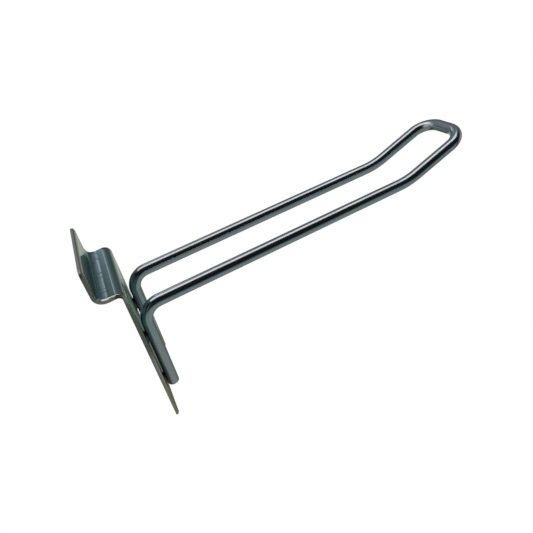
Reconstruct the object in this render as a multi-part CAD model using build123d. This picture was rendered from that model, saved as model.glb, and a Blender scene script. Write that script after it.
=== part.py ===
"""Loop hook for a grooved display panel: a folded sheet-steel back plate with a wire loop welded to its front.

Millimetres, +Z up. The origin is the corner that seats on the panel: the plane of the plate's back face
(Y = 0) meets the underside of the shelf (Z = 0) on the plate's centre line (X = 0). The loop reaches forward
along -Y, and the shelf and its flange reach back along +Y, over and behind the lip of the panel's groove.
"""
from build123d import *
import os
from math import cos, radians, sin, tan

# Sheet of the back plate
SHEET_THICKNESS = 1.5
LIP_GAP = 7.7  # plate's back face to the front of the flange
SHELF_SLOPE = 7.0  # degrees that the shelf drops behind the crest
SHELF_RISE = 8.0  # degrees that it then rises towards the flange
FLANGE_RISE = 14.2  # origin to the top of the flange
CREST_BEND_RADIUS = 1.5  # inside radius where the plate turns into the shelf
DIP_BEND_RADIUS = 6.0  # inside radius of the shallow bend from the shelf's drop to its rise
FLANGE_BEND_RADIUS = 2.5  # inside radius where the shelf turns up into the flange
BEND_SPACING = 0.1  # straight between the dip's bend and the flange's
SIDE_MARGIN = 6.5  # leg's axis to the plate's side
PLATE_TAIL = 14.3  # plate below the ends of the legs
FLANGE_CORNER_RADIUS = 2.2  # corners of the strip at the top of the flange
FOOT_CORNER_RADIUS = 0.8  # corners of the strip at the bottom of the plate

# Wire of the loop, along its centre line
WIRE_DIAMETER = 5.0
PRONG_SPACING = 23.8
PRONG_DROP = 12.4  # origin down to the prongs, where their line crosses the legs
LEG_LENGTH = 43.0  # that crossing down to the end of a leg
LEG_BEND_RADIUS = 7.6
PRONG_SLOPE = 4.4  # degrees that the prongs rise forward
PRONG_LENGTH = 125.0  # legs to the crook, where the prongs turn up
CROOK_ANGLE = 18.3  # degrees more than the prongs' slope
CROOK_RADIUS = 31.0
TIP_LENGTH = 33.2  # crook to the crossbar
TIP_CORNER_RADIUS = 8.5
WIRE_END_CHAMFER = 0.4

# Weld projections, pressed out of the plate under the legs
LEG_STANDOFF = 0.5  # plate's front face to the wire
WELD_SINK = 0.3  # depth that each projection has melted into a seat for the wire
WELD_BASE_DIAMETER = 6.4
WELD_TOP_DIAMETER = 3.6
WELD_BEND_MARGIN = 6.9  # start of the leg's bend down to the upper weld
WELD_END_MARGIN = 4.3  # end of the leg up to the lower weld

# Places that both pieces share
wire_radius = WIRE_DIAMETER / 2
half_spacing = PRONG_SPACING / 2
plate_front = -SHEET_THICKNESS
leg_line = plate_front - LEG_STANDOFF - wire_radius
leg_top = -PRONG_DROP
leg_end = leg_top - LEG_LENGTH
leg_straight_top = leg_top - LEG_BEND_RADIUS * tan(radians(90 - PRONG_SLOPE) / 2)
weld_heights = (leg_straight_top - WELD_BEND_MARGIN, leg_end + WELD_END_MARGIN)
leg_sides = (-half_spacing, half_spacing)


def folded_sheet():
    """The strip, drawn as the line of its back and underside, thickened forward and upward."""
    plate_bottom = leg_end - PLATE_TAIL
    flange_back = LIP_GAP + SHEET_THICKNESS
    dip_radius = DIP_BEND_RADIUS + SHEET_THICKNESS
    flange_radius = FLANGE_BEND_RADIUS + SHEET_THICKNESS
    dip_tangent = dip_radius * tan(radians(SHELF_SLOPE + SHELF_RISE) / 2)
    flange_tangent = flange_radius * tan(radians(90 - SHELF_RISE) / 2)
    rise_length = dip_tangent + BEND_SPACING + flange_tangent
    dip_back = flange_back - rise_length * cos(radians(SHELF_RISE))
    dip_height = -dip_back * tan(radians(SHELF_SLOPE))
    back_line = FilletPolyline(
        (0, plate_bottom),
        (0, 0),
        (dip_back, dip_height),
        (flange_back, dip_height + rise_length * sin(radians(SHELF_RISE))),
        (flange_back, FLANGE_RISE),
        radius=[CREST_BEND_RADIUS, dip_radius, flange_radius],
    )
    section = make_face(offset(back_line, SHEET_THICKNESS, side=Side.LEFT))
    strip = extrude(Plane.YZ * section, half_spacing + SIDE_MARGIN, both=True)
    flange_corners = strip.edges().filter_by(Axis.Y).group_by(Axis.Z)[-1]
    strip = fillet(flange_corners, FLANGE_CORNER_RADIUS)
    foot_corners = strip.edges().filter_by(Axis.Y).group_by(Axis.Z)[0]
    return fillet(foot_corners, FOOT_CORNER_RADIUS)


def projection_cones(base_line):
    """A row of cones along -Y, one for each weld, with their bases in the plane Y = base_line."""
    cone = Cone(
        WELD_BASE_DIAMETER / 2,
        WELD_TOP_DIAMETER / 2,
        LEG_STANDOFF + WELD_SINK,
        align=(Align.CENTER, Align.CENTER, Align.MIN),
    )
    places = [
        Plane((side, base_line, height), z_dir=(0, -1, 0)) for side in leg_sides for height in weld_heights
    ]
    return [place * cone for place in places]


def leg_cylinders():
    """The straight stretch of each leg, as the shape that the weld projections seat."""
    leg = Cylinder(
        wire_radius,
        leg_straight_top - leg_end,
        align=(Align.CENTER, Align.CENTER, Align.MIN),
    )
    return [Pos(side, leg_line, leg_end) * leg for side in leg_sides]


def back_plate():
    """The folded strip with its projections raised on the front and hollow behind, each seated to its leg."""
    raised = folded_sheet() + projection_cones(plate_front)
    return raised - projection_cones(0) - leg_cylinders()


def wire_loop():
    """One wire: up a leg, out along a prong, over the crook, across the tip and back the same way."""

    def forward(rise):
        return Vector(0, -cos(radians(rise)), sin(radians(rise)))

    foot = Vector(0, leg_line, leg_end)
    heel = Vector(0, leg_line, leg_top)
    crook = heel + forward(PRONG_SLOPE) * PRONG_LENGTH
    tip = crook + forward(PRONG_SLOPE + CROOK_ANGLE) * TIP_LENGTH
    one_side = [foot, heel, crook, tip]
    side_radii = [LEG_BEND_RADIUS, CROOK_RADIUS, TIP_CORNER_RADIUS]
    left = [point + Vector(-half_spacing, 0, 0) for point in one_side]
    right = [point + Vector(half_spacing, 0, 0) for point in one_side]
    line = FilletPolyline(*left, *reversed(right), radius=side_radii + side_radii[::-1])
    wire = sweep(Plane(line @ 0, z_dir=line % 0) * Circle(wire_radius), path=line)
    return chamfer(wire.edges().group_by(Axis.Z)[0], WIRE_END_CHAMFER)


os.makedirs("parts", exist_ok=True)
export_step(back_plate(), "parts/back_plate.step")
export_step(wire_loop(), "parts/wire_loop.step")
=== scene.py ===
# %% [markdown]
# # A loop hook for a grooved display panel
#
# The hook is two pieces of zinc-plated steel: a strip of sheet that is folded to hang over the lip of a
# panel's groove, and one length of wire that is bent into a loop and welded to the strip's front. This lesson
# models both by hand tools that work like the shop's own: feed, bend, press and weld. The imported CAD model
# comes in first as a fixed frame, so every length below is in that frame, and the size of each of its parts
# is printed.

# %% Load the frame
import bpy
import bmesh
from itertools import accumulate
from math import atan2, cos, pi, prod, radians, sin, tan
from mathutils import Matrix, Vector


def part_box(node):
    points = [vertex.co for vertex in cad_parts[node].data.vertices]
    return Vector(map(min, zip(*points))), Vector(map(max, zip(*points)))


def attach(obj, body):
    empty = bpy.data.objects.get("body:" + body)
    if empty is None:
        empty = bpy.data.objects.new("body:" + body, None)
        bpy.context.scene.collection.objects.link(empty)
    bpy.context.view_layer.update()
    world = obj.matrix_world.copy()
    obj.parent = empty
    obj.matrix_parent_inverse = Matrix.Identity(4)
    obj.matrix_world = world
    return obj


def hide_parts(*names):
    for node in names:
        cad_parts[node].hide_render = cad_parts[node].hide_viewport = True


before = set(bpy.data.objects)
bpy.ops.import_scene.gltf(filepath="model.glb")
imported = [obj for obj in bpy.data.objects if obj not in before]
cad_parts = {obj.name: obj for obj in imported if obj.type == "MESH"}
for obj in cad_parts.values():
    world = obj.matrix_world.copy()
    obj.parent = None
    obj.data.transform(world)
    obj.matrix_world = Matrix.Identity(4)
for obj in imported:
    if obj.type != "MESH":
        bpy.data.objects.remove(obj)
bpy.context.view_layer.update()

MM = 0.001

for node_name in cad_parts:
    low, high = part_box(node_name)
    print(node_name, "measures", [round(side / MM, 2) for side in high - low], "mm")

# %% [markdown]
# ## The camera
#
# A photograph fixes seven numbers of a camera once enough of the object is known: three for its place,
# three for its turn and one for its lens. These were solved from the straight runs and corners of the hook.
# The camera is close and its lens is wide, so the near prong looks clearly wider than the far one.

# %% Camera
CAMERA_PLACE = (-0.146777, -0.009411, 0.086970)
CAMERA_TURN = (radians(53.5113), radians(8.6756), radians(-115.6349))
CAMERA_LENS = 28.643
CAMERA_SENSOR = 36
CAMERA_NEAR = 10 * MM
HOOK_MIDDLE = Vector((0, -0.08, -0.02))

bpy.ops.object.camera_add(location=CAMERA_PLACE, rotation=CAMERA_TURN)
camera = bpy.context.object
camera.data.lens = CAMERA_LENS
camera.data.sensor_width = CAMERA_SENSOR
camera.data.clip_start = CAMERA_NEAR
bpy.context.scene.camera = camera
camera_distance = (camera.location - HOOK_MIDDLE).length
print("camera", round(camera_distance / MM), "mm from the middle of the hook")

# %% [markdown]
# ## Shader sums written as Python
#
# A material is a graph of nodes, and the sums in it are easier to read as sums. `Signal` holds one output
# of a node, and adding it, taking it away or multiplying it makes the Math node that does so. `Recipe`
# holds a whole graph. Its `node` method makes any other node from a type, its settings and what goes into
# its sockets.

# %% Signal and Recipe
class Signal:
    """One output of a shader node, which Python's arithmetic can use."""

    def __init__(self, recipe, socket):
        self.recipe = recipe
        self.socket = socket

    def math(self, operation, first, second):
        return self.recipe.node("ShaderNodeMath", {"operation": operation}, {0: first, 1: second})["Value"]

    def __add__(self, other):
        return self.math("ADD", self, other)

    def __radd__(self, other):
        return self.math("ADD", other, self)

    def __sub__(self, other):
        return self.math("SUBTRACT", self, other)

    def __rsub__(self, other):
        return self.math("SUBTRACT", other, self)

    def __mul__(self, other):
        return self.math("MULTIPLY", self, other)

    def __rmul__(self, other):
        return self.math("MULTIPLY", other, self)


class Recipe:
    """The node graph of one material or of the world."""

    def __init__(self, tree):
        self.tree = tree
        tree.nodes.clear()

    def node(self, kind, settings=None, sockets=None):
        made = self.tree.nodes.new(kind)
        for name, value in (settings or {}).items():
            setattr(made, name, value)
        for name, value in (sockets or {}).items():
            socket = made.inputs[name] if isinstance(name, int) else next(
                entry for entry in made.inputs if entry.enabled and entry.name == name
            )
            if isinstance(value, Signal):
                self.tree.links.new(value.socket, socket)
            else:
                socket.default_value = value
        return {entry.name: Signal(self, entry) for entry in made.outputs if entry.enabled}

    def fade(self, value, start, end):
        """0 at start, 1 at end, and a smooth rise between them."""
        limits = {"Value": value, "From Min": start, "From Max": end}
        return self.node("ShaderNodeMapRange", {"interpolation_type": "SMOOTHSTEP"}, limits)["Result"]

    def stretch(self, value, begins, full, fading, ends):
        """1 between full and fading, and 0 before it begins and after it ends."""
        return self.fade(value, begins, full) * self.fade(value, ends, fading)

    def blend(self, factor, first, second):
        """One colour where factor is 0, the other where it is 1."""
        colours = {"Factor": factor, "A": first, "B": second}
        return self.node("ShaderNodeMix", {"data_type": "RGBA"}, colours)["Result"]

    def axes(self, vector):
        """The three numbers of a vector."""
        parts = self.node("ShaderNodeSeparateXYZ", None, {"Vector": vector})
        return parts["X"], parts["Y"], parts["Z"]

    def noise(self, vector, scale, detail=2.0, roughness=0.5):
        """Cloudy noise in which scale gives the lumps to a metre along each axis."""
        scaled = self.node("ShaderNodeMapping", None, {"Vector": vector, "Scale": scale})["Vector"]
        values = {"Vector": scaled, "Scale": 1.0, "Detail": detail, "Roughness": roughness}
        texture = self.node("ShaderNodeTexNoise", None, values)
        return next(iter(texture.values()))


print("shader sums are ready")

# %% [markdown]
# ## The room that the zinc reflects
#
# Polished metal has hardly any colour of its own: what it shows is the room. A large softbox hangs overhead
# in a dim room. On the far side is a slate-blue wall with a window high up, and below are a dark floor and
# a pale bench, so each round wire carries a white stripe, a black stripe and a grey-green one. The room
# could be built from cards, but a sky that changes with direction does the same with nothing to bump into.
# `facing` says where in it an area lies: a pair for an axis gives the parts of a direction at which the
# area starts and is full.

# %% Far wall and window
ROOM_DARK = (0.007, 0.008, 0.009, 1)
WALL_SLATE = (0.102, 0.125, 0.140, 1)
WALL_PALE = (0.120, 0.135, 0.135, 1)
WINDOW_BLUE = (0.560, 0.570, 0.630, 1)

sky = bpy.data.worlds.new("studio_sky")
sky.use_nodes = True
bpy.context.scene.world = sky
room = Recipe(sky.node_tree)
sky_x, sky_y, sky_z = room.axes(room.node("ShaderNodeTexCoord")["Generated"])


def facing(x=None, y=None, z=None):
    """1 towards an area of the room and 0 away from it, bounded by a fade on each axis that is given."""
    limits = [(sky_x, x), (sky_y, y), (sky_z, z)]
    masks = [room.fade(part, *pair) for part, pair in limits if pair]
    return prod(masks[1:], start=masks[0])


wall = facing(x=(-0.05, 0.45)) * (0.45 + 0.55 * facing(z=(0.10, 0.38)))
upper = room.blend(wall, ROOM_DARK, WALL_SLATE)
corner = facing(x=(0.75, 0.88), y=(-0.30, -0.50), z=(0.20, 0.00))
upper = room.blend(corner, upper, WALL_PALE)
panes = 0.25 * facing(y=(-0.30, 0.00)) + 0.75 * facing(y=(0.00, 0.10))
window = panes * facing(x=(0.62, 0.76), y=(0.185, 0.15), z=(0.26, 0.42))
upper = room.blend(window, upper, WINDOW_BLUE)
print("far wall has", len(sky.node_tree.nodes), "nodes")

# %% Floor and bench
FLOOR_DARK = (0.020, 0.026, 0.027, 1)
FLOOR_OLIVE = (0.130, 0.150, 0.125, 1)
BENCH_NEAR = (0.150, 0.208, 0.218, 1)
BENCH_PALE = (0.420, 0.460, 0.400, 1)
BENCH_WARM = (0.190, 0.225, 0.222, 1)
BENCH_OLIVE = (0.120, 0.125, 0.075, 1)
BENCH_RISE = 0.25

olive = room.stretch(sky_y, -0.80, -0.60, -0.05, 0.10)
lower = room.blend(olive, FLOOR_DARK, FLOOR_OLIVE)
near_bench = room.blend(facing(z=(-0.63, -0.69)), BENCH_NEAR, BENCH_WARM)
lower = room.blend(facing(x=(0.20, -0.10)), lower, near_bench)
lower = room.blend(facing(y=(-0.72, -0.86)), lower, FLOOR_DARK)
far_bench = room.blend(facing(z=(-0.625, -0.69)), BENCH_PALE, BENCH_OLIVE)
lower = room.blend(facing(x=(0.45, 0.70), y=(0.12, -0.05)), lower, far_bench)
horizon = sky_z - BENCH_RISE * facing(x=(0.10, -0.30), y=(-0.38, -0.52))
surroundings = room.blend(room.fade(horizon, 0.08, -0.45), upper, lower)
print("wall, floor and bench have", len(sky.node_tree.nodes), "nodes")

# %% Walls in front, behind and beside
FRONT_WARM = (0.130, 0.137, 0.124, 1)
FRONT_PALE = (0.240, 0.260, 0.265, 1)
BACK_DIM = (0.150, 0.175, 0.170, 1)
BACK_PALE = (0.380, 0.410, 0.420, 1)
SIDE_DIM = (0.050, 0.080, 0.080, 1)
SIDE_PALE = (0.132, 0.167, 0.176, 1)
SIDE_BENCH = (0.140, 0.180, 0.160, 1)

warm_front = facing(x=(-0.45, -0.15), y=(-0.70, -0.82), z=(0.10, -0.25))
surroundings = room.blend(warm_front, surroundings, FRONT_WARM)
surroundings = room.blend(facing(y=(-0.86, -0.96)), surroundings, FRONT_PALE)
back_wall = room.blend(facing(z=(-0.60, 0.40)), BACK_DIM, BACK_PALE)
surroundings = room.blend(facing(y=(0.58, 0.85)), surroundings, back_wall)
side_wall = room.blend(facing(z=(-0.25, 0.45)), SIDE_DIM, SIDE_PALE)
side_wall = room.blend(facing(z=(-0.42, -0.68)), side_wall, SIDE_BENCH)
surroundings = room.blend(facing(x=(0.30, 0.55), y=(0.20, 0.36)), surroundings, side_wall)
print("all walls have", len(sky.node_tree.nodes), "nodes")

# %% [markdown]
# ## What the camera sees and what lights the hook
#
# The camera itself sees plain white in place of the room. The softbox is an area light. A surface that
# glows evenly gives off pi times its glow from each square metre, and that sets the light's power.

# %% White for the camera
WHITE = (1, 1, 1, 1)

camera_ray = room.node("ShaderNodeLightPath")["Is Camera Ray"]
shown = room.blend(camera_ray, surroundings, WHITE)
background = room.node("ShaderNodeBackground", None, {"Color": shown, "Strength": 1.0})["Background"]
room.node("ShaderNodeOutputWorld", None, {"Surface": background})
bpy.context.scene.view_settings.view_transform = "Standard"
print("studio sky has", len(sky.node_tree.nodes), "nodes")

# %% Softbox overhead
SOFTBOX_PLACE = (0.15, 0.10, 0.80)
SOFTBOX_SIZE = (0.48, 1.40)
SOFTBOX_GLOW = 0.80

bpy.ops.object.light_add(type="AREA", location=SOFTBOX_PLACE)
softbox = bpy.context.object
softbox.data.shape = "RECTANGLE"
softbox.data.size, softbox.data.size_y = SOFTBOX_SIZE
softbox.data.energy = SOFTBOX_GLOW * pi * SOFTBOX_SIZE[0] * SOFTBOX_SIZE[1]
softbox.visible_camera = False
print("softbox gives", round(softbox.data.energy, 2), "W")

# %% [markdown]
# ## The floor
#
# The hook is seen against pure white with no shadow, as on a lit table. A plane that glows evenly gives that,
# well below the hook so that a camera from underneath still has room. It isn't part of the object, and it is
# left out of reflections, where the sky already has a bench.

# %% Lit table
FLOOR_HEIGHT = -0.30
FLOOR_SIZE = 3

bpy.ops.mesh.primitive_plane_add(size=FLOOR_SIZE, location=(0, 0, FLOOR_HEIGHT))
floor = bpy.context.object
floor.name = "floor"
table_white = bpy.data.materials.new("table_white")
table_white.use_nodes = True
table = Recipe(table_white.node_tree)
even_glow = table.node("ShaderNodeEmission", None, {"Color": WHITE, "Strength": 1.0})["Emission"]
table.node("ShaderNodeOutputMaterial", None, {"Surface": even_glow})
floor.data.materials.append(table_white)
floor.visible_glossy = False
floor.visible_diffuse = False
floor.visible_shadow = False
print("floor is", round(-FLOOR_HEIGHT / MM), "mm below the origin")

# %% [markdown]
# ## Feed and bend
#
# Both pieces are formed the same way: stock is fed straight, then turned round a former, then fed again. In
# Blender the stock is a selected ring or edge, a feed is an extrusion, and a turn is a spin about a centre
# that lies one bend radius to the side. The route is given by its sharp corners, as on a bender's drawing,
# and each corner takes a tangent length from the straight before it and after it. A curve with a bevel
# would be quicker for the wire, but it would not make the sheet, and the same tool for both shows how alike
# they are.

# %% Feed and bend
STEP_TURN = radians(4)
TOUCHING = 0.001 * MM


def feed_and_bend(corners, radii):
    """Carry the selection along a route. A run is its start, heading, way of turn, radius and length."""
    headings = [(after - before).normalized() for before, after in zip(corners, corners[1:])]
    turns = [heading.angle(onward) for heading, onward in zip(headings, headings[1:])]
    trims = [0, *(radius * tan(turn / 2) for radius, turn in zip(radii, turns)), 0]
    runs = []
    for leg, heading in enumerate(headings):
        straight = (corners[leg + 1] - corners[leg]).length - trims[leg] - trims[leg + 1]
        if straight > TOUCHING:
            bpy.ops.mesh.extrude_region_move(TRANSFORM_OT_translate={"value": heading * straight})
            runs.append((corners[leg] + heading * trims[leg], heading, None, 0, straight))
        if leg == len(turns):
            break
        onward = headings[leg + 1]
        toward = (onward - heading * onward.dot(heading)).normalized()
        start = corners[leg + 1] - heading * trims[leg + 1]
        centre = start + toward * radii[leg]
        steps = round(turns[leg] / STEP_TURN)
        # Spin turns left-handed about its axis, so the angle is negative
        bpy.ops.mesh.spin(steps=steps, angle=-turns[leg], center=centre, axis=heading.cross(toward))
        runs.append((start, heading, toward, radii[leg], radii[leg] * turns[leg]))
    return runs


def stock_length(runs):
    return sum(run[-1] for run in runs)


def pick(kind, test):
    """Select only the vertices, edges or faces of the piece in edit mode that pass a test."""
    bpy.ops.mesh.select_mode(type=kind)
    bpy.ops.mesh.select_all(action="DESELECT")
    mesh = bmesh.from_edit_mesh(bpy.context.edit_object.data)
    every = {"VERT": mesh.verts, "EDGE": mesh.edges, "FACE": mesh.faces}[kind]
    chosen = [entry for entry in every if test(entry)]
    for entry in chosen:
        entry.select_set(True)
    bmesh.update_edit_mesh(bpy.context.edit_object.data)
    return len(chosen)


def start_piece(name):
    """Name the primitive just added, put its origin in the frame's origin and open it for editing."""
    piece = bpy.context.object
    piece.name = name
    piece.data.name = name
    bpy.ops.object.transform_apply(location=True, rotation=True, scale=True)
    bpy.ops.object.mode_set(mode="EDIT")
    bpy.ops.mesh.select_all(action="SELECT")
    return piece


print("a right angle is bent in", round(radians(90) / STEP_TURN), "steps")

# %% [markdown]
# ## The wire loop
#
# The loop is one wire of 5 mm. It starts at the foot of one leg, runs up the plate, turns forward as a
# prong that rises a little, turns up more near the end, crosses over and comes back the same way. Its
# corners are in the plane of each side, so only the crossbar's two corners turn sideways.

# %% Route of the wire
WIRE_RADIUS = 2.5 * MM
LEG_X = 11.9 * MM
LEG_Y = -4.5 * MM
LEG_FOOT = -55.4 * MM
LEG_HEEL = -12.4 * MM
PRONG_RISE = radians(4.4)
PRONG_LENGTH = 125.0 * MM
CROOK_TURN = radians(18.3)
TIP_LENGTH = 33.2 * MM
SIDE_RADII = [7.6 * MM, 31.0 * MM, 8.5 * MM]


def forward(rise):
    return Vector((0, -cos(rise), sin(rise)))


foot = Vector((0, LEG_Y, LEG_FOOT))
heel = Vector((0, LEG_Y, LEG_HEEL))
crook = heel + forward(PRONG_RISE) * PRONG_LENGTH
tip = crook + forward(PRONG_RISE + CROOK_TURN) * TIP_LENGTH
aside = Vector((LEG_X, 0, 0))
one_side = [foot, heel, crook, tip]
wire_corners = [place - aside for place in one_side] + [place + aside for place in reversed(one_side)]
print("crook at", [round(value / MM, 2) for value in crook], "mm")
print("tip at", [round(value / MM, 2) for value in tip], "mm")

# %% Bend the wire
WIRE_SIDES = 64

bpy.ops.object.select_all(action="DESELECT")
bpy.ops.mesh.primitive_circle_add(vertices=WIRE_SIDES, radius=WIRE_RADIUS, location=wire_corners[0])
wire = start_piece("bent_wire_loop")
wire_runs = feed_and_bend(wire_corners, SIDE_RADII + SIDE_RADII[::-1])
bpy.ops.mesh.select_all(action="SELECT")
bpy.ops.mesh.remove_doubles(threshold=TOUCHING)
bpy.ops.mesh.fill_holes(sides=0)
bpy.ops.mesh.normals_make_consistent(inside=False)
print("wire is", round(stock_length(wire_runs) / MM, 2), "mm long")

# %% [markdown]
# ## The cut ends
#
# The wire was cropped, so its two ends are flat, with a rim that is a little rounded. The rim's edges are
# those with both ends level with the foot. The flat faces, the only ones with more than four corners, get a
# second material slot for a duller finish.

# %% Round the rims
END_ROUNDING = 0.4 * MM
LEVEL = 0.01 * MM
FACE_CORNERS = 4
SMOOTH_BELOW = radians(30)


def at_foot(vertex):
    return abs(vertex.co.z - LEG_FOOT) < LEVEL


rim_edges = pick("EDGE", lambda edge: all(at_foot(vertex) for vertex in edge.verts))
bpy.ops.mesh.bevel(offset=END_ROUNDING, segments=3)
wire.data.materials.append(bpy.data.materials.new("bright_zinc_wire"))
wire.data.materials.append(bpy.data.materials.new("cropped_wire_end"))
cut_faces = pick("FACE", lambda face: len(face.verts) > FACE_CORNERS)
wire.active_material_index = 1
bpy.ops.object.material_slot_assign()
bpy.ops.object.mode_set(mode="OBJECT")
bpy.ops.object.shade_smooth_by_angle(angle=SMOOTH_BELOW)
print(rim_edges, "rim edges rounded,", cut_faces, "cut faces,", len(wire.data.polygons), "faces in all")

# %% [markdown]
# ## Straightening the wire for its finish
#
# Drawing the wire through a die leaves faint lines along it, and they follow every bend. A pattern on the
# object's own axes would cross them, so each point also gets the place that it had in the straight wire:
# two numbers across and one along. The rings are walked from one cut end to the other, so each point's
# neighbour that is not yet numbered is the same point one ring further on.

# %% Straight wire's places
neighbours = [set() for vertex in wire.data.vertices]
for edge in wire.data.edges:
    first, second = edge.vertices
    neighbours[first].add(second)
    neighbours[second].add(first)
cut_ends = [face for face in wire.data.polygons if len(face.vertices) > FACE_CORNERS]
ring = list(min(cut_ends, key=lambda face: face.center.x).vertices)
places = [vertex.co for vertex in wire.data.vertices]
middle = sum((places[index] for index in ring), Vector()) / WIRE_SIDES
across = [(places[index] - middle).normalized() for index in ring]
straightened = [0.0] * (3 * len(places))
numbered = set()
walked = 0.0
rings = 0
while None not in ring:
    new_middle = sum((places[index] for index in ring), Vector()) / WIRE_SIDES
    walked += (new_middle - middle).length
    middle = new_middle
    for index, outward in zip(ring, across):
        reach = (places[index] - middle).length
        straightened[3 * index:3 * index + 3] = (outward.x * reach, outward.y * reach, walked)
    numbered.update(ring)
    rings += 1
    ring = [next(iter(neighbours[index] - numbered), None) for index in ring]
straight_wire = wire.data.attributes.new("straight_wire", "FLOAT_VECTOR", "POINT")
straight_wire.data.foreach_set("vector", straightened)
print(rings, "rings walked over", round(walked / MM, 2), "mm, of", len(places) // WIRE_SIDES)

# %% [markdown]
# ## The plate
#
# The plate starts as one flat sheet that stands where its back touches the panel. Four small projections
# will be pressed forward out of it to meet the wire, so the sheet first needs round rings to press. For
# each one a square is cut into the sheet with bisects and its face is taken out. Its divided outline is
# then extruded inwards, rounded to a circle and shrunk, ring after ring, still flat. Bridging to a circle
# would do too, but on a flat sheet a bridge can run the wrong way round.

# %% Flat sheet with cuts round the projections
SHEET = 1.5 * MM
HALF_WIDTH = 18.4 * MM
PLATE_BOTTOM = -69.7 * MM
SHELF_DROP = radians(7)
SHELF_RISE = radians(8)
DIP_BACK = 4.68 * MM
FLANGE_BACK = 9.2 * MM
FLANGE_TOP = 14.2 * MM
CREST_RADIUS = 1.5 * MM
DIP_RADIUS = 7.5 * MM
HEEL_RADIUS = 4.0 * MM
WELD_HEIGHTS = (-26.34 * MM, -51.10 * MM)
PATCH = 4.0 * MM

fold_start = -CREST_RADIUS * tan((pi / 2 + SHELF_DROP) / 2)
flat_height = fold_start - PLATE_BOTTOM
flat_middle = (0, 0, PLATE_BOTTOM + flat_height / 2)
welds = [Vector((side * LEG_X, 0, height)) for side in (-1, 1) for height in WELD_HEIGHTS]

bpy.ops.object.select_all(action="DESELECT")
bpy.ops.mesh.primitive_plane_add(size=1, location=flat_middle, rotation=(pi / 2, 0, 0))
bpy.context.object.scale = (2 * HALF_WIDTH, flat_height, 1)
plate = start_piece("folded_back_plate")
cuts = {(weld.x + side * PATCH, 0) for weld in welds for side in (-1, 1)}
cuts |= {(0, weld.z + side * PATCH) for weld in welds for side in (-1, 1)}
for cut_x, cut_z in sorted(cuts):
    bpy.ops.mesh.select_all(action="SELECT")
    bpy.ops.mesh.bisect(plane_co=(cut_x, 0, cut_z), plane_no=(1, 0, 0) if cut_x else (0, 0, 1))
print(len(cuts), "cuts across a flat sheet", round(flat_height / MM, 2), "mm high")

# %% Mark out the rings
PUNCH_RADII = [3.6 * MM, 3.35 * MM, 3.1 * MM, 2.2 * MM, 1.95 * MM, 1.7 * MM]
PUNCH_SIDES = 32


def near(centre, reach):
    """A test for edges with both ends within a square round a centre."""
    limit = reach + LEVEL

    def inside(edge):
        offsets = [vertex.co - centre for vertex in edge.verts]
        return all(abs(offset.x) < limit and abs(offset.z) < limit for offset in offsets)

    return inside


def mark_rings(centre):
    """Replace a square of the flat sheet by rings round a centre."""
    pick("FACE", lambda face: (face.calc_center_median() - centre).length < LEVEL)
    bpy.ops.mesh.delete(type="ONLY_FACE")
    pick("EDGE", near(centre, PATCH))
    bpy.ops.mesh.subdivide(number_cuts=PUNCH_SIDES // 4 - 1)
    for radius in PUNCH_RADII:
        bpy.ops.mesh.extrude_region_move(TRANSFORM_OT_translate={"value": (0, 0, 0)})
        bpy.ops.transform.tosphere(value=1, center_override=centre)
        mesh = bmesh.from_edit_mesh(plate.data)
        shrink = radius / next((vertex.co - centre).length for vertex in mesh.verts if vertex.select)
        bpy.ops.transform.resize(value=(shrink, 1, shrink), center_override=centre)
    bpy.ops.mesh.edge_face_add()


for weld in welds:
    mark_rings(weld)
print(len(welds), "sets of", len(PUNCH_RADII), "rings marked")

# %% [markdown]
# ## The folds
#
# A press brake bends the strip three times: back over the lower edge of the groove at the crest, gently up
# in the dip of the shelf, and up again at the heel, into the flange. The top edge of the flat sheet is
# carried round all three with the same feed and bend as the wire. The sheet is still without thickness, so
# its corners are rounded on their vertices, a little at the foot and more on the flange, and only then does
# Solidify add 1.5 mm towards the front. The rim that it adds takes the second slot, for the look of a
# sheared edge.

# %% Fold the shelf and the flange
FOOT_ROUNDING = 0.8 * MM
FLANGE_ROUNDING = 2.2 * MM


def corner_at(end_height):
    """A test for the strip's two corners at a height."""

    def at_corner(vertex):
        return abs(vertex.co.z - end_height) < LEVEL and abs(abs(vertex.co.x) - HALF_WIDTH) < LEVEL

    return at_corner


pick("EDGE", lambda edge: all(abs(vertex.co.z - fold_start) < LEVEL for vertex in edge.verts))
dip_low = -DIP_BACK * tan(SHELF_DROP)
heel_low = dip_low + (FLANGE_BACK - DIP_BACK) * tan(SHELF_RISE)
fold_corners = [
    Vector((0, 0, fold_start)),
    Vector((0, 0, 0)),
    Vector((0, DIP_BACK, dip_low)),
    Vector((0, FLANGE_BACK, heel_low)),
    Vector((0, FLANGE_BACK, FLANGE_TOP)),
]
fold_runs = feed_and_bend(fold_corners, [CREST_RADIUS, DIP_RADIUS, HEEL_RADIUS])
bpy.ops.mesh.select_all(action="SELECT")
bpy.ops.mesh.remove_doubles(threshold=TOUCHING)
bpy.ops.mesh.normals_make_consistent(inside=False)
lowest_face = min(bmesh.from_edit_mesh(plate.data).faces, key=lambda face: face.calc_center_median().z)
if lowest_face.normal.y > 0:
    bpy.ops.mesh.flip_normals()
foot_corners = pick("VERT", corner_at(PLATE_BOTTOM))
bpy.ops.mesh.bevel(offset=FOOT_ROUNDING, segments=6, affect="VERTICES")
flange_corners = pick("VERT", corner_at(FLANGE_TOP))
bpy.ops.mesh.bevel(offset=FLANGE_ROUNDING, segments=10, affect="VERTICES")
bpy.ops.object.mode_set(mode="OBJECT")
strip_length = flat_height + stock_length(fold_runs)
print("strip is", round(strip_length / MM, 2), "mm long,", foot_corners + flange_corners, "corners rounded")

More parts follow.
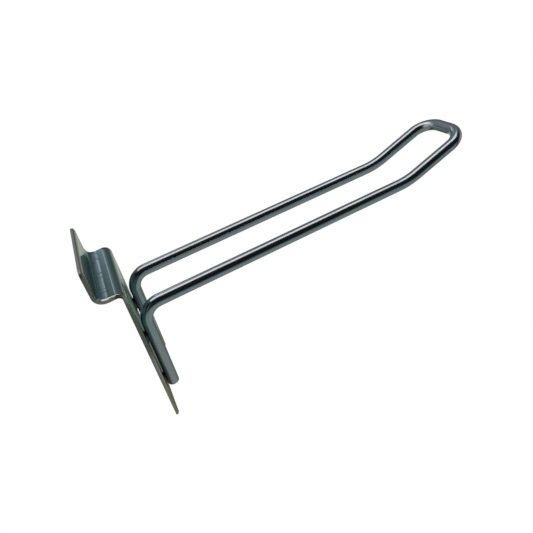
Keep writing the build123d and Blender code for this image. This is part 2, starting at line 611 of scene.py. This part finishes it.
# %% Give the sheet its thickness
plate.data.materials.append(bpy.data.materials.new("satin_zinc_sheet"))
plate.data.materials.append(bpy.data.materials.new("sheared_sheet_edge"))
thickness = plate.modifiers.new("thickness", "SOLIDIFY")
thickness.thickness = SHEET
thickness.offset = 1
thickness.use_even_offset = True
thickness.material_offset_rim = 1
bpy.ops.object.modifier_apply(modifier="thickness")
print("sheet has", len(plate.data.polygons), "faces after thickening")

# %% [markdown]
# ## Where a point was in the flat strip
#
# The mill's rolling lines, the stretch marks of a bend and the bands of a sheared edge all belong to the
# flat strip, and so does the difference between the front skin and the back one. The bends are known
# exactly, so a point's place in the flat strip follows from which part of the profile it is on: how far
# across, how far along from the start of the first bend, and how deep from the back.

# %% Unfold a point
strip_runs = [(Vector((0, 0, PLATE_BOTTOM)), Vector((0, 0, 1)), None, 0, flat_height), *fold_runs]


def placed_on(run, spot):
    """How far along and how deep a spot is on one run of the strip."""
    start, heading, toward, radius = run[:4]
    front = Vector((1, 0, 0)).cross(heading)
    if toward is None:
        return (spot - start).dot(heading), (spot - start).dot(front)
    arm = spot - start - toward * radius
    turned = atan2(arm.dot(heading), -arm.dot(toward))
    return radius * turned, (radius - arm.length) * front.dot(toward)


def unfolded(point):
    """Across, along from the first bend, and deep from the back."""
    spot = Vector((0, point.y, point.z))
    before = -flat_height
    found = []
    for run in strip_runs:
        along, deep = placed_on(run, spot)
        length = run[-1]
        misfit = max(0, -along, along - length) + max(0, -deep, deep - SHEET)
        found.append((misfit, point.x, before + along, deep))
        before += length
    return min(found)[1:]


run_ends = list(accumulate(run[-1] for run in fold_runs))
CREST_END, DIP_START = run_ends[:2]
HEEL_START, HEEL_END, STRIP_END = run_ends[-3:]
print("bends and straights end at", [round(run_end / MM, 2) for run_end in run_ends], "mm along")
depths = [unfolded(vertex.co)[2] for vertex in plate.data.vertices]
print("skins lie", round(min(depths) / MM, 3), "and", round(max(depths) / MM, 3), "mm from the back")

# %% [markdown]
# ## Pressing, edges and seats
#
# The press would come first in a shop, but both skins have to move together for the wall to stay as thick
# as the sheet, so it comes after Solidify here: ring by ring, everything inside is pushed forward a little
# more. Shearing drags the sheet's front edge over and leaves the back edge almost sharp. So the front edge
# is cut off by a chamfer, which is then rounded into the skin, and the back edge gets a fine bevel. This
# roll is full on the flange, at the foot and beside the shelf on the left. Elsewhere its points are
# squeezed out to the side, and the squeeze lets go in steps. The welds come last: each projection melts
# until it fits the wire, so the wire itself is the cutter of a Boolean.

# %% Press the projections
PUNCH_DEPTHS = [0.0, 0.04 * MM, 0.15 * MM, 0.65 * MM, 0.76 * MM, 0.8 * MM]


def within(reach):
    """A test for points of either skin that lie within a reach of the nearest weld."""
    return lambda vertex: min((vertex.co.xz - weld.xz).length for weld in welds) < reach


bpy.ops.object.mode_set(mode="EDIT")
for radius, before, after in zip(PUNCH_RADII[1:], PUNCH_DEPTHS, PUNCH_DEPTHS[1:]):
    pressed = pick("VERT", within(radius + LEVEL))
    bpy.ops.transform.translate(value=(0, before - after, 0))
print(pressed, "points at the tops stand", round(PUNCH_DEPTHS[-1] / MM, 2), "mm forward of the sheet")

# %% Roll the edges
ROLL_DROP = 0.60 * MM
ROLL_REACH = 0.80 * MM
ROLL_START = CREST_END - 0.8 * MM
ROLL_END = HEEL_END - 0.5 * MM
ROLL_STEP = 0.6 * MM
ROLL_SHARES = [0.25, 0.4, 0.55, 0.7, 0.85]
BACK_ROLL = 0.10 * MM


def rim_edge(edge, front):
    """Whether an edge lies between the rim and the front skin, or the rim and the back one."""
    on_rim = len({face.material_index for face in edge.link_faces}) == 2
    return on_rim and all((unfolded(vertex.co)[2] > SHEET / 2) == front for vertex in edge.verts)


def steps_inside(side, along):
    """Steps from the ends of the full roll beside the shelf: none outside it, and none on the right."""
    if side > 0:
        return 0
    inside = min(along - ROLL_START, ROLL_END - along)
    return max(0, 1 + inside // ROLL_STEP)


def in_roll(side, step):
    """A test for points of one side's roll, from the foot to the heel, that lie so many steps inside."""

    def passes(vertex):
        along = unfolded(vertex.co)[1]
        clear = FOOT_ROUNDING + ROLL_DROP + ROLL_REACH - flat_height < along < HEEL_END + LEVEL
        reached = side * vertex.co.x > HALF_WIDTH - ROLL_DROP - ROLL_REACH - LEVEL
        return clear and reached and steps_inside(side, along) == step

    return passes


front_count = pick("EDGE", lambda edge: rim_edge(edge, True))
bpy.ops.mesh.bevel(offset=ROLL_DROP, segments=1, material=1)
pick("EDGE", lambda edge: rim_edge(edge, True))
bpy.ops.mesh.bevel(offset=ROLL_REACH, segments=5, material=1)
squeezed = 0
for side in (-1, 1):
    for step, share in enumerate(ROLL_SHARES):
        picked = pick("VERT", in_roll(side, step))
        squeezed += picked
        if picked:
            bpy.ops.transform.resize(value=(share, 1, 1), center_override=(side * HALF_WIDTH, 0, 0))
back_count = pick("EDGE", lambda edge: rim_edge(edge, False))
bpy.ops.mesh.bevel(offset=BACK_ROLL, segments=2, material=1)
bpy.ops.object.mode_set(mode="OBJECT")
print(front_count, "front edges and", back_count, "back edges rolled,", squeezed, "points squeezed")

# %% Seat the wire in the projections
seats = plate.modifiers.new("seats", "BOOLEAN")
seats.operation = "DIFFERENCE"
seats.solver = "EXACT"
seats.object = wire
bpy.ops.object.modifier_apply(modifier="seats")
bpy.ops.object.shade_smooth_by_angle(angle=SMOOTH_BELOW)
crisp = plate.modifiers.new("crisp", "WEIGHTED_NORMAL")
crisp.keep_sharp = True
bpy.ops.object.modifier_apply(modifier="crisp")
print("plate has", len(plate.data.polygons), "faces, slots", [entry.name for entry in plate.data.materials])

# %% Flat strip's places
flat_places = [value for vertex in plate.data.vertices for value in unfolded(vertex.co)]
flat_strip = plate.data.attributes.new("flat_strip", "FLOAT_VECTOR", "POINT")
flat_strip.data.foreach_set("vector", flat_places)
strip_ends = [round(end(flat_places[1::3]) / MM, 2) for end in (min, max)]
print("strip runs from", strip_ends[0], "to", strip_ends[1], "mm")

# %% [markdown]
# ## Bright zinc on the wire
#
# Electroplated wire keeps the shine of drawn steel under a clear, slightly blue zinc. The shader is a metal
# with a low roughness. Faint drawing lines along the wire and a slow cloudiness change the roughness a
# little, which is what breaks up a reflection that would otherwise look like plastic. The cropped ends are
# torn and duller.

# %% Wire finish
ZINC_CLEAR = (0.80, 0.83, 0.87, 1)
ZINC_CLOUDY = (0.70, 0.75, 0.78, 1)
DIE_GRAIN = (2600, 2600, 18)
CLOUD_GRAIN = (180, 180, 90)
DIE_DEPTH = 0.0002 * MM


def open_recipe(material):
    material.use_nodes = True
    return Recipe(material.node_tree)


def close_recipe(recipe, colour, roughness, height, depth):
    """End a metal finish: colour, roughness, and a bump that is so many metres deep."""
    bump = {"Height": height, "Distance": depth, "Strength": 1.0}
    normal = recipe.node("ShaderNodeBump", None, bump)["Normal"]
    values = {"Base Color": colour, "Roughness": roughness, "Metallic": 1.0, "Normal": normal}
    metal = recipe.node("ShaderNodeBsdfPrincipled", None, values)["BSDF"]
    recipe.node("ShaderNodeOutputMaterial", None, {"Surface": metal})


drawn = open_recipe(wire.data.materials[0])
in_wire = drawn.node("ShaderNodeAttribute", {"attribute_name": "straight_wire"})["Vector"]
die_lines = drawn.noise(in_wire, DIE_GRAIN, detail=3)
clouds = drawn.noise(in_wire, CLOUD_GRAIN, detail=3)
zinc_colour = drawn.blend(drawn.fade(clouds, 0.35, 0.75), ZINC_CLEAR, ZINC_CLOUDY)
zinc_roughness = 0.12 + 0.08 * die_lines + 0.06 * clouds
close_recipe(drawn, zinc_colour, zinc_roughness, die_lines, DIE_DEPTH)
print("wire finish has", len(drawn.tree.nodes), "nodes")

# %% Cropped ends of the wire
CROP_DARK = (0.34, 0.33, 0.31, 1)
CROP_PALE = (0.55, 0.55, 0.54, 1)
TEAR_GRAIN = (900, 2600, 900)
TEAR_DEPTH = 0.05 * MM

cropped = open_recipe(wire.data.materials[1])
on_end = cropped.node("ShaderNodeTexCoord")["Object"]
tear = cropped.noise(on_end, TEAR_GRAIN, detail=4, roughness=0.65)
end_colour = cropped.blend(tear, CROP_DARK, CROP_PALE)
close_recipe(cropped, end_colour, 0.38 + 0.25 * tear, tear, TEAR_DEPTH)
print("cropped end has", len(cropped.tree.nodes), "nodes")

# %% [markdown]
# ## Satin zinc on the sheet
#
# Rolled sheet is duller than drawn wire, and the colour of its zinc changes along the strip: teal, with pale
# yellow where the clear film is thicker, darker green below the crest, olive towards the foot and green at
# the heel. The gaps behind the legs get painted shade, each weld leaves a brown ring that is partly heat tint
# and partly painted contact shade, and the shelf has short stretch marks from the dip to the heel. Most of
# this is on the front skin only. Places along the strip count from the start of the first bend. Four of them
# say where a stretch begins, is full, starts to fade and ends, and two are the start and the end of one fade.

# %% Colours along the strip
SHEET_TEAL = (0.42, 0.57, 0.58, 1)
SHEET_YELLOW = (0.62, 0.66, 0.54, 1)
SHEET_OLIVE = (0.60, 0.58, 0.38, 1)
PLATE_GREEN = (0.20, 0.37, 0.35, 1)
HEEL_GREEN = (0.15, 0.48, 0.36, 1)
MILL_GRAIN = (2200, 30, 300)
FILM_GRAIN = (70, 55, 55)
FRONT_DEPTHS = (0.5 * MM, 1.0 * MM)
SHELF_ALONG = (0.7 * MM, 2.0 * MM, HEEL_END - 1.1 * MM, HEEL_END + 0.9 * MM)
PLATE_ALONG = (-3 * MM, -9 * MM)
FOOT_ALONG = (-26 * MM, -40 * MM)
GREEN_ALONG = (-28 * MM, -20 * MM, -8 * MM, -3 * MM)
HEEL_ALONG = (HEEL_END - 3.4 * MM, HEEL_END - 1.4 * MM, HEEL_END + 3 * MM, HEEL_END + 7 * MM)

rolled = open_recipe(plate.data.materials[0])
in_strip = rolled.node("ShaderNodeAttribute", {"attribute_name": "flat_strip"})["Vector"]
strip_along, strip_depth = rolled.axes(in_strip)[1:]
front_skin = rolled.fade(strip_depth, *FRONT_DEPTHS)
mill_lines = rolled.noise(in_strip, MILL_GRAIN, detail=4, roughness=0.6)
film = rolled.noise(in_strip, FILM_GRAIN, detail=3)
on_shelf = rolled.stretch(strip_along, *SHELF_ALONG)
on_plate = rolled.fade(strip_along, *PLATE_ALONG)
yellow = rolled.fade(film, 0.30, 0.70) * (1 - on_shelf) * (1 - 0.8 * on_plate)
sheet_colour = rolled.blend(yellow, SHEET_TEAL, SHEET_YELLOW)
to_foot = rolled.fade(strip_along, *FOOT_ALONG) * (0.6 + 0.6 * film) * (0.3 + 0.7 * front_skin)
sheet_colour = rolled.blend(to_foot, sheet_colour, SHEET_OLIVE)
under_crest = rolled.stretch(strip_along, *GREEN_ALONG)
sheet_colour = rolled.blend(0.9 * front_skin * under_crest, sheet_colour, PLATE_GREEN)
in_heel = rolled.stretch(strip_along, *HEEL_ALONG)
sheet_colour = rolled.blend(0.8 * front_skin * in_heel, sheet_colour, HEEL_GREEN)
print("colours along the strip have", len(rolled.tree.nodes), "nodes")

# %% Painted shade behind the legs, and heat tint with painted shade round the welds
GAP_PAINTED_SHADE = (0.14, 0.20, 0.21, 1)
HEAT_TINT_AND_SHADE = (0.22, 0.19, 0.17, 1)
GAP_REACH = (4.2 * MM, 2.8 * MM)
GAP_HEIGHTS = (-60 * MM, -56 * MM, -30 * MM, -24 * MM)
WELD_REACH = (6.5 * MM, 2.5 * MM)

place_x, place_z = rolled.axes(rolled.node("ShaderNodeTexCoord")["Object"])[::2]
off_x = rolled.node("ShaderNodeMath", {"operation": "ABSOLUTE"}, {0: place_x})["Value"] - LEG_X


def close_by(square, reach):
    """1 within the second reach and 0 beyond the first, for the square of a distance."""
    return rolled.fade(square, reach[0] ** 2, reach[1] ** 2)


# Painted shade: the front skin is darkened in the narrow gap behind each leg
painted_shade_behind_leg = close_by(off_x * off_x, GAP_REACH) * rolled.stretch(place_z, *GAP_HEIGHTS)
sheet_colour = rolled.blend(front_skin * painted_shade_behind_leg, sheet_colour, GAP_PAINTED_SHADE)
# A brown ring round each weld: partly heat tint, partly painted contact shade where the leg meets the plate
weld_heat_and_shade = 0
for height in WELD_HEIGHTS:
    off_z = place_z - height
    weld_heat_and_shade = weld_heat_and_shade + close_by(off_x * off_x + off_z * off_z, WELD_REACH)
sheet_colour = rolled.blend(0.8 * weld_heat_and_shade, sheet_colour, HEAT_TINT_AND_SHADE)
print("with gaps and heat the sheet has", len(rolled.tree.nodes), "nodes")

# %% Stretch marks and relief
MARK_DARK = (0.25, 0.34, 0.36, 1)
MARK_GRAIN = (1100, 220, 300)
MARK_ALONG = (DIP_START, DIP_START + 0.7 * MM, HEEL_START + 2 * MM, HEEL_END - 1.2 * MM)
MARK_DEPTH = 0.03
MILL_DEPTH = 0.0001

marks = rolled.fade(rolled.noise(in_strip, MARK_GRAIN, detail=1), 0.54, 0.70)
stretch_marks = marks * rolled.stretch(strip_along, *MARK_ALONG)
sheet_colour = rolled.blend(0.6 * front_skin * stretch_marks, sheet_colour, MARK_DARK)
sheet_roughness = 0.09 + 0.06 * mill_lines + 0.07 * film + 0.15 * weld_heat_and_shade + 0.14 * on_plate
# Both depths are in millimetres, so the bump is one millimetre deep for each unit of relief
relief = MILL_DEPTH * mill_lines - MARK_DEPTH * stretch_marks
close_recipe(rolled, sheet_colour, sheet_roughness, relief, MM)
print("sheet finish has", len(rolled.tree.nodes), "nodes")

# %% [markdown]
# ## The sheared edge
#
# A shear first cuts the sheet, then tears it, so its edge has a smooth cream band by the front and a brown
# torn one behind, with a ragged line between them. Along the strip the edge is olive towards the foot,
# carries painted shade below the crest and past the heel, and is grey across the top, and it is darker brown
# in the inside of the crest's bend.

# %% Sheared edge of the sheet
EDGE_CREAM = (0.92, 0.90, 0.79, 1)
EDGE_BROWN = (0.78, 0.68, 0.56, 1)
EDGE_OLIVE = (0.86, 0.72, 0.46, 1)
EDGE_SHADE = (0.48, 0.44, 0.36, 1)
EDGE_HEEL_SHADE = (0.42, 0.39, 0.31, 1)
EDGE_GREY = (0.62, 0.61, 0.55, 1)
FOLD_DARK_BROWN = (0.20, 0.15, 0.09, 1)
RAGGED_GRAIN = (1200, 1200, 250)
RAGGED_REACH = 0.5 * MM
RAGGED_DEPTH = 0.03 * MM
TORN_DEPTHS = (1.15 * MM, 0.95 * MM)
ROUGH_DEPTHS = (1.32 * MM, 1.15 * MM)
FOLD_DARK_DEPTHS = (1.1 * MM, 0.7 * MM)
OLIVE_ALONG = (-36 * MM, -58 * MM)
SHADE_ALONG = (-34 * MM, -26 * MM, -5 * MM, 1 * MM)
HEEL_SHADE_ALONG = (HEEL_END - 4 * MM, HEEL_END)
TOP_ALONG = (STRIP_END - 0.6 * MM, STRIP_END - 0.1 * MM)
FOLD_DARK_ALONG = (0.3 * MM, 1.5 * MM, CREST_END, CREST_END + 0.8 * MM)

sheared = open_recipe(plate.data.materials[1])
in_edge = sheared.node("ShaderNodeAttribute", {"attribute_name": "flat_strip"})["Vector"]
edge_along, edge_depth = sheared.axes(in_edge)[1:]
ragged = sheared.noise(in_edge, RAGGED_GRAIN, detail=4, roughness=0.65)
torn = sheared.fade(edge_depth + RAGGED_REACH * ragged, *TORN_DEPTHS)
edge_colour = sheared.blend(torn, EDGE_CREAM, EDGE_BROWN)
edge_colour = sheared.blend(sheared.fade(edge_along, *OLIVE_ALONG), edge_colour, EDGE_OLIVE)
edge_colour = sheared.blend(sheared.stretch(edge_along, *SHADE_ALONG), edge_colour, EDGE_SHADE)
# Painted shade: the sheared edge is darkened from the heel onwards
edge_colour = sheared.blend(0.7 * sheared.fade(edge_along, *HEEL_SHADE_ALONG), edge_colour, EDGE_HEEL_SHADE)
edge_colour = sheared.blend(sheared.fade(edge_along, *TOP_ALONG), edge_colour, EDGE_GREY)
# Darker brown in the inside of the crest's bend, towards the back skin
fold_darkening = sheared.stretch(edge_along, *FOLD_DARK_ALONG) * sheared.fade(edge_depth, *FOLD_DARK_DEPTHS)
edge_colour = sheared.blend(fold_darkening, edge_colour, FOLD_DARK_BROWN)
edge_roughness = 0.26 + 0.24 * sheared.fade(edge_depth, *ROUGH_DEPTHS)
close_recipe(sheared, edge_colour, edge_roughness, ragged * torn, RAGGED_DEPTH)
print("sheared edge has", len(sheared.tree.nodes), "nodes")

# %% [markdown]
# ## Joining the pieces to the frame
#
# Both pieces ride on the one rigid body and stand for their CAD nodes, which are hidden.

# %% Join to the frame
for piece, node_name, slot_name in ((wire, "wire_loop", "wire_zinc"), (plate, "back_plate", "plate_zinc")):
    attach(piece, "root")
    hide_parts(node_name)
    print(piece.name, "stands for", node_name, "with", len(piece.data.vertices), "vertices")
